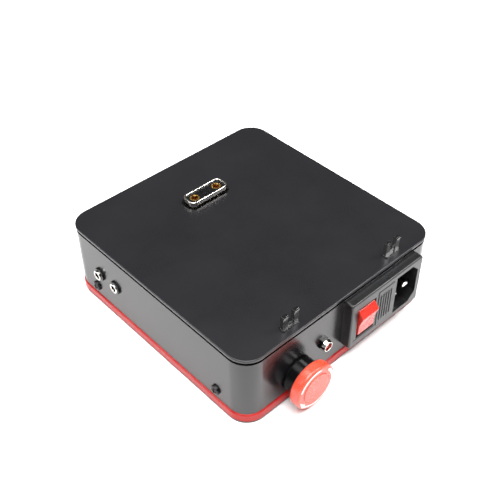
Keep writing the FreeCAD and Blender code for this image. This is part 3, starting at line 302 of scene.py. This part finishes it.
def roundedLoop(half, radius, centre=(0, 0), steps=14):
    # a rounded rectangle: a quarter circle about each corner centre; also gives the outward direction there
    turns = np.radians(np.arange(4)[:, None] * 90 + np.linspace(0, 90, steps))
    outward = np.stack([np.cos(turns), np.sin(turns)], -1)
    signs = np.array([[1, 1], [-1, 1], [-1, -1], [1, -1]])
    inner = (signs * (np.array(half) - radius) + np.array(centre))[:, None]
    return (inner + radius * outward).reshape(-1, 2), outward.reshape(-1, 2)


def offsetRows(loop, profile):
    # the profile's (offset, height) pairs carried round a loop, which each row moves outward by its offset
    spots, outward = loop
    flat = spots[None] + profile[:, :1, None] * outward[None]
    height = np.broadcast_to(profile[:, 1, None, None], (*flat.shape[:2], 1))
    return np.concatenate([flat, height], -1)


def turnedRows(profile, steps=96, reshape=None):
    # the profile's (radius, height) pairs turned round an axis; reshape can vary radius and height by angle
    angle = np.linspace(0, 2 * math.pi, steps, endpoint=False)[None]
    radius, height = profile[:, :1] + 0 * angle, profile[:, 1:] + 0 * angle
    if reshape:
        radius, height = reshape(radius, height, angle)
    return np.stack([radius * np.cos(angle), radius * np.sin(angle), height], -1)


def ontoFront(points, spot):
    # (across, up, reach out of the front wall), about a spot (x, z) in metres
    return np.stack([spot[0] + points[..., 0] * mm, wallLow[1] - points[..., 2] * mm,
                     spot[1] + points[..., 1] * mm], -1)


def ontoSide(points, spot, side):
    # (across, up, reach out of a side wall), about a spot (y, z) in metres; side is -1 at the jacks
    wall = wallLow[0] if side < 0 else wallHigh[0]
    return np.stack([wall + side * points[..., 2] * mm, spot[0] + side * points[..., 0] * mm,
                     spot[1] + points[..., 1] * mm], -1)


def middle(node):
    # halfway between the box's two corners
    low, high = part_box(node)
    return (low + high) / 2


def refined(node, slot, body, edge, steps=3, finishName=None):
    # the node's own surface, its triangles joined and its flats made whole, each sharp edge rounded a little
    mesh = nodes[node].data.copy()
    for layer in ("custom_normal", "sharp_face", "sharp_edge"):
        if layer in mesh.attributes:
            mesh.attributes.remove(mesh.attributes[layer])
    form = bmesh.new()
    form.from_mesh(mesh)
    bmesh.ops.remove_doubles(form, verts=form.verts, dist=meshing["weld"])
    bmesh.ops.dissolve_limit(form, angle_limit=math.radians(meshing["flat"]), verts=form.verts,
                             edges=form.edges)
    form.to_mesh(mesh)
    form.free()
    piece = addPiece(node + "_skin", mesh, slot, body, (node,), finishName, angle=180)
    rounding = piece.modifiers.new("edgeRound", "BEVEL")
    rounding.width = edge * mm
    rounding.segments = steps
    rounding.limit_method = "ANGLE"
    rounding.angle_limit = math.radians(meshing["sharp"])
    piece.modifiers.move(1, 0)
    return piece


# case: sizes in millimetres
case = {"half": (66.0, 68.25), "corner": 11.0, "top": 44.4, "plate": 3.2, "lip": 1.6, "groove": 1.6,
        "overhang": 0.2, "edge": 0.5, "lipEdge": 0.15, "slotHalf": (13.8, 5.8), "slotCorner": 4.1,
        "slotEdge": 0.25, "band": (1.2, 6.2), "bandProud": 0.6, "bandFoot": 0.35, "bandCrown": 1.2,
        "bandBack": 0.1, "wall": 2.5}
plateLoop = roundedLoop(np.array(case["half"]) + case["overhang"], case["corner"] + case["overhang"],
                        steps=18)
caseLoop = roundedLoop(case["half"], case["corner"], steps=18)


def topPlateRows(setup):
    # rows climb the slot's wall, cross the plate to its edge, round it, pass under its lip and down its step
    dockSpot = middle("dock_shell")
    slot = roundedLoop(setup["slotHalf"], setup["slotCorner"], (dockSpot.x / mm, dockSpot.y / mm))
    outside = roundedLoop(np.array(setup["half"]) + setup["overhang"], setup["corner"] + setup["overhang"])
    top, low = setup["top"], setup["top"] - setup["plate"]
    arc = np.radians(np.linspace(0, 90, 9))
    slotEdge, edge = setup["slotEdge"], setup["edge"]
    hole = np.stack([slotEdge * (1 - np.cos(arc)), top - slotEdge * (1 - np.sin(arc))], -1)
    rim = np.stack([edge * (np.sin(arc) - 1), top - edge * (1 - np.cos(arc))], -1)
    lip, inside, lipEdge = top - setup["lip"], -setup["groove"] - setup["overhang"], setup["lipEdge"]
    under = [[0, lip + lipEdge], [-lipEdge, lip], [inside, lip], [inside, low]]
    return np.concatenate([offsetRows(slot, np.vstack([[0, low], hole])),
                           offsetRows(outside, np.vstack([rim, under]))])


addPiece("top_plate_skin", gridMesh("top_plate_skin", topPlateRows(case) * mm), "satin_black_aluminium",
         "case", ("top_plate",))

# polished rim: a thin skin on the upright side of the plate's lip
rimSkin = {"low": 42.95, "high": 43.85, "inside": -0.3, "outside": 0.012, "cut": 0.008}
rimOutline = softened([(rimSkin["inside"], rimSkin["low"]), (rimSkin["outside"], rimSkin["low"]),
                       (rimSkin["outside"], rimSkin["high"]), (rimSkin["inside"], rimSkin["high"])],
                      rimSkin["cut"], 3)
addPiece("plate_rim", gridMesh("plate_rim", offsetRows(plateLoop, rimOutline) * mm), "satin_black_aluminium",
         "case", finishName="anodised_wall")

# trim band: a flat hoop with a fine round below and a broad one above
bandLow, bandHigh = case["band"]
bandOutline = softened([(-case["wall"], bandLow), (case["bandProud"], bandLow), (case["bandProud"], bandHigh),
                        (-case["wall"], bandHigh)],
                       (case["bandBack"], case["bandFoot"], case["bandCrown"], case["bandBack"]), 9)
addPiece("red_band_skin", gridMesh("red_band_skin", offsetRows(caseLoop, bandOutline) * mm), "red_trim",
         "case", ("red_trim_band",))
refined("wall_frame", "anodised_wall", "case", edge=0.12, steps=2)
refined("bottom_plate", "black_base", "case", edge=0.15, steps=2)
print("case done")


# screws: a low dome with a cross recess, drawn as one surface over radius and angle; face and rim are
# shares of the radius, the rest millimetres
screwHead = {"radius": 2.8, "thick": 1.6, "dome": 0.55, "face": 0.86, "faceRows": 30,
             "rim": (0.93, 0.975, 1.0), "rimDrop": (0, 0.06, 0.25),
             "crossHalf": 1.75, "slot": 0.42, "recess": 0.9, "slotSlope": 0.16, "endSlope": 0.3}


def screwRows(setup):
    # height is a parabola over the radius, less a drop at the rim; the last two rows close the back
    share = np.concatenate([np.linspace(0, setup["face"], setup["faceRows"]), setup["rim"]])
    drop = np.concatenate([np.zeros(setup["faceRows"]), setup["rimDrop"]])
    radius = np.append(share, (1, 0)) * setup["radius"]
    height = np.append(setup["thick"] - setup["dome"] * share ** 2 - drop, (0, 0))
    front = height > 0

    def carve(radius, height, angle):
        # the front sinks by the recess within either arm of the cross, over a short slope at its sides
        across, up = np.abs(radius * np.cos(angle)), np.abs(radius * np.sin(angle))
        near, far = np.minimum(across, up), np.maximum(across, up)
        sides = np.clip((setup["slot"] - near) / setup["slotSlope"], 0, 1)
        ends = np.clip((setup["crossHalf"] - far) / setup["endSlope"], 0, 1)
        return radius, height - np.where(front[:, None], sides * ends * setup["recess"], 0)

    return turnedRows(np.stack([radius, height], -1), 120, carve)


for side, sign in (("left", -1), ("right", 1)):
    for end in ("front", "rear"):
        node = f"side_screw_{end}_{side}"
        spot = middle(node)
        mesh = gridMesh(node + "_skin", ontoSide(screwRows(screwHead), (spot.y, spot.z), sign))
        addPiece(node + "_skin", mesh, "black_screw", "case", (node,), angle=50)
print("side screws done")


# dock connector and battery hooks
refined("dock_shell", "nickel", "case", edge=0.15)
refined("dock_insert", "black_plastic", "case", edge=0.12, steps=2)
for side in ("left", "right"):
    refined(f"dock_power_socket_{side}", "gold", "case", edge=0.14, steps=2)
    refined(f"battery_hook_{side}", "black_plastic", "case", edge=0.3, finishName="hard_lacquer")
refined("dock_signal_contacts", "gold", "case", edge=0.08, steps=2, finishName="black_screw")
print("dock and hooks done")


# stop button: outlines are (radius, reach out of the wall)
stopSpot = (middle("stop_collar").x, middle("stop_collar").z)
stopHead = {"outline": [(3.06, 11.1), (10.0, 11.1), (10.0, 7.1), (12.5, 7.1), (12.5, 12.7), (8.35, 12.7),
                        (8.35, 12.2), (3.06, 12.2)],
            "cuts": (0, 0.3, 0.3, 0.9, 1.5, 0.15, 0.1, 0)}
stopCap = {"outline": [(0, 12.2), (8.2, 12.2), (8.2, 12.95), (0, 12.95)], "cuts": (0, 0.05, 0.3, 0)}
stopCollar = {"outline": [(3.06, 3.8), (5.5, 3.8), (5.5, -9.0), (3.06, -9.0), (3.06, -12.0), (7.0, -12.0),
                          (7.0, 0.8), (9.6, 0.8), (9.6, 6.8), (3.06, 6.8)],
              "cuts": (0.1, 0.1, 0.1, 0.1, 0.1, 0.3, 0.1, 0.25, 0.5, 0.1)}
# a matt black ring on the back of the head: painted shade, so the head's back and its mirror image in the
# wall read dark
stopBackShade = {"outline": [(10.05, 7.02), (12.2, 7.02), (12.2, 7.2), (10.05, 7.2)], "cuts": 0.05}


def turnedPiece(name, setup, spot, slot, body, stands=(), steps=128, finishName=None):
    # the softened outline turned round an axis that stands out of the front wall
    rows = turnedRows(softened(setup["outline"], setup["cuts"], 7), steps)
    return addPiece(name, gridMesh(name, ontoFront(rows, spot)), slot, body, stands, finishName)


turnedPiece("stop_head_skin", stopHead, stopSpot, "stop_red", "stop_head_body", ("stop_head",))
turnedPiece("stop_cap_skin", stopCap, stopSpot, "stop_red", "stop_head_body", ("stop_centre_cap",))
turnedPiece("stop_collar_skin", stopCollar, stopSpot, "black_plastic", "case", ("stop_collar",))
# the painted-shade ring on the head's back rides with the head
turnedPiece("stop_head_back_shade", stopBackShade, stopSpot, "stop_red", "stop_head_body", finishName="rubber")

# plain twist arrows: degrees from the right, anticlockwise; stops are (share of the arc, half width)
arrowInk = {"face": 12.7, "radius": 10.65, "sink": 0.03, "proud": 0.035}
arrows = [{"from": 160, "to": 72, "stops": ((0, 0.02), (0.03, 0.42), (0.9, 0.42), (1, 0.02))},
          {"from": 44, "to": -165, "stops": ((0, 0.02), (0.03, 0.75), (0.16, 0.62), (0.24, 0.3), (0.86, 0.34),
                                             (0.885, 1.15), (1, 0.02))}]


def arrowRows(setup, ink):
    # a thin bar follows the arc; its half width runs through the stops
    share = np.unique(np.concatenate([np.linspace(0, 1, 90), [spot for spot, _ in setup["stops"]]]))
    half = np.interp(share, *np.array(setup["stops"]).T)[:, None]
    angle = np.radians(setup["from"] + share * (setup["to"] - setup["from"]))[:, None]
    radius = ink["radius"] + half * np.array([[-1, 1, 1, -1]])
    height = ink["face"] + np.array([[-ink["sink"], -ink["sink"], ink["proud"], ink["proud"]]]) + 0 * radius
    return np.stack([radius * np.cos(angle), radius * np.sin(angle), height], -1)


def capped(rows):
    # closes a tube's two ends by drawing each to its middle point
    ends = [np.repeat(rows[spot].mean(0)[None], rows.shape[1], 0)[None] for spot in (0, -1)]
    return np.concatenate([ends[0], rows, ends[1]])


marks = joined("stop_arrow_marks", [
    gridMesh("arrow", ontoFront(capped(arrowRows(setup, arrowInk)), stopSpot), wrapRows=False)
    for setup in arrows])
addPiece("stop_arrow_marks", marks, "stop_red", "stop_head_body", finishName="white_ink")
print("stop button done")


# indicator: a dark hexagon under a bright cone, with a lens sunk in it
ledSpot = (middle("led_lens").x, middle("led_lens").z)
bezel = {"outline": [(2.3, -9.0), (3.0, -9.0), (3.0, 0.0), (3.8, 0.0), (3.8, 1.4), (2.3, 1.4)],
         "cuts": (0.05, 0.2, 0.05, 0.05, 0.2, 0.1), "hexFrom": 3.25, "hexCorner": 3.8, "hexTip": 3.72}
cone = {"outline": [(2.3, 1.3), (3.2, 1.3), (3.2, 1.5), (2.7, 3.4), (2.3, 3.4)],
        "cuts": (0.05, 0.05, 0.1, 0.15, 0.1)}
lens = {"outline": [(0, -8.0), (2.25, -8.0), (2.25, 2.6), (0, 2.6)], "cuts": (0, 0.2, 1.5, 0)}


def hexagon(radius, height, angle):
    # beyond the cone's foot the radius stops at the flats of a hexagon, its tips slightly turned down
    flat = bezel["hexCorner"] * math.cos(math.pi / 6) / np.cos((angle % (math.pi / 3)) - math.pi / 6)
    limit = np.minimum(flat, bezel["hexTip"])
    return np.where(radius > bezel["hexFrom"], np.minimum(radius, limit), radius), height


bezelRows = turnedRows(softened(bezel["outline"], bezel["cuts"], 5), 144, hexagon)
addPiece("led_bezel_skin", gridMesh("led_bezel_skin", ontoFront(bezelRows, ledSpot)), "nickel", "case",
         ("led_bezel",), finishName="hard_lacquer", angle=25)
turnedPiece("led_cone", cone, ledSpot, "nickel", "case")
turnedPiece("led_lens_skin", lens, ledSpot, "lens_red", "case", ("led_lens",), steps=64)
print("indicator done")


# jacks: nickel bushing, plastic liner in its bore, and a ring nut with coined edges, in millimetres
jack = {"bore": 1.8, "thread": 2.8, "depth": -6.0, "cuts": (0.1, 0.1, 0.35, 0.3), "overlap": 0.02,
        "liner": 1.7, "linerSink": 0.45, "linerCut": 0.02, "nut": 3.8, "nutThick": 1.2,
        "nutCuts": (0.05, 0.1, 0.3, 0.15), "notches": 36, "notch": 0.09, "notchReach": 0.25}
nutMeshes, linerMeshes = [], []


def knurled(radius, height, angle):
    # the rim's radius dips by a cosine at each notch
    dip = jack["notch"] * (1 + np.cos(jack["notches"] * angle)) / 2
    return np.where(radius > jack["nut"] - jack["notchReach"], radius - dip, radius), height


for name in ("rear", "front"):
    node = f"jack_bushing_{name}"
    spot = middle(node)
    reach = (wallLow[0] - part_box(node)[0].x) / mm
    bore, thread, depth = jack["bore"], jack["thread"], jack["depth"]
    outline = softened([(bore, depth), (thread, depth), (thread, reach), (bore, reach)], jack["cuts"])
    rows = ontoSide(turnedRows(outline), (spot.y, spot.z), -1)
    addPiece(node + "_skin", gridMesh(node + "_skin", rows), "nickel", "case", (node,))
    outer, brim = bore + jack["overlap"], reach - jack["linerSink"]
    lining = softened([(jack["liner"], depth), (outer, depth), (outer, brim), (jack["liner"], brim)],
                      jack["linerCut"], 3)
    linerMeshes.append(gridMesh("liner", ontoSide(turnedRows(lining, 64), (spot.y, spot.z), -1)))
    inner, thick = thread + jack["overlap"], jack["nutThick"]
    ring = softened([(inner, 0), (jack["nut"], 0), (jack["nut"], thick), (inner, thick)], jack["nutCuts"], 5)
    nutMeshes.append(gridMesh("nut", ontoSide(turnedRows(ring, 288, knurled), (spot.y, spot.z), -1)))
addPiece("jack_nuts_skin", joined("jack_nuts_skin", nutMeshes), "black_plastic", "case", ("jack_nuts",))
addPiece("jack_liners", joined("jack_liners", linerMeshes), "black_plastic", "case")
print("jacks done")


# mains inlet
refined("inlet_housing", "inlet_plastic", "case", edge=0.22)
for pole in ("live", "neutral", "earth"):
    refined(f"inlet_{pole}_blade", "nickel", "case", edge=0.2)
refined("rocker_switch", "rocker_red", "rocker_body", edge=0.45, steps=4)
refined("fuse_drawer", "inlet_plastic", "fuse_drawer_body", edge=0.22)
print("mains inlet done")


# floor, light and surroundings, in metres and watts
room = {"floorHalf": 6.0, "floorDrop": 0.0001, "skyStrength": 0.22,
        "lamps": [{"name": "ceiling", "at": (-0.25, -0.2, 1.5), "aim": (0, 0, 0), "size": 1.3, "power": 56},
                  {"name": "right", "at": (0.75, -0.5, 1.0), "aim": (0, 0, 0.02), "size": 0.4, "power": 12},
                  {"name": "left", "at": (-1.0, 0.7, 0.9), "aim": (0, 0, 0.02), "size": 0.5, "power": 8}]}


def makeRoom(setup):
    # a square floor just under the case, square lamps that face their aims, and an even white sky
    spots = np.array([[-1, -1], [1, -1], [1, 1], [-1, 1]]) * setup["floorHalf"]
    mesh = bpy.data.meshes.new("floor")
    mesh.from_pydata([(x, y, -setup["floorDrop"]) for x, y in spots.tolist()], [], [(0, 1, 2, 3)])
    mesh.materials.append(finishes["paper"])
    floor = bpy.data.objects.new("floor", mesh)
    bpy.context.scene.collection.objects.link(floor)
    for lamp in setup["lamps"]:
        data = bpy.data.lights.new(lamp["name"], "AREA")
        data.shape = "SQUARE"
        data.size = lamp["size"]
        data.energy = lamp["power"]
        light = bpy.data.objects.new(lamp["name"], data)
        bpy.context.scene.collection.objects.link(light)
        turn = (Vector(lamp["aim"]) - Vector(lamp["at"])).to_track_quat("-Z", "Y")
        light.matrix_world = Matrix.Translation(lamp["at"]) @ turn.to_matrix().to_4x4()
    world = bpy.data.worlds.new("surroundings")
    world.use_nodes = True
    sky = world.node_tree.nodes["Background"]
    sky.inputs["Color"].default_value = (1, 1, 1, 1)
    sky.inputs["Strength"].default_value = setup["skyStrength"]
    bpy.context.scene.world = world


makeRoom(room)
print("room done")
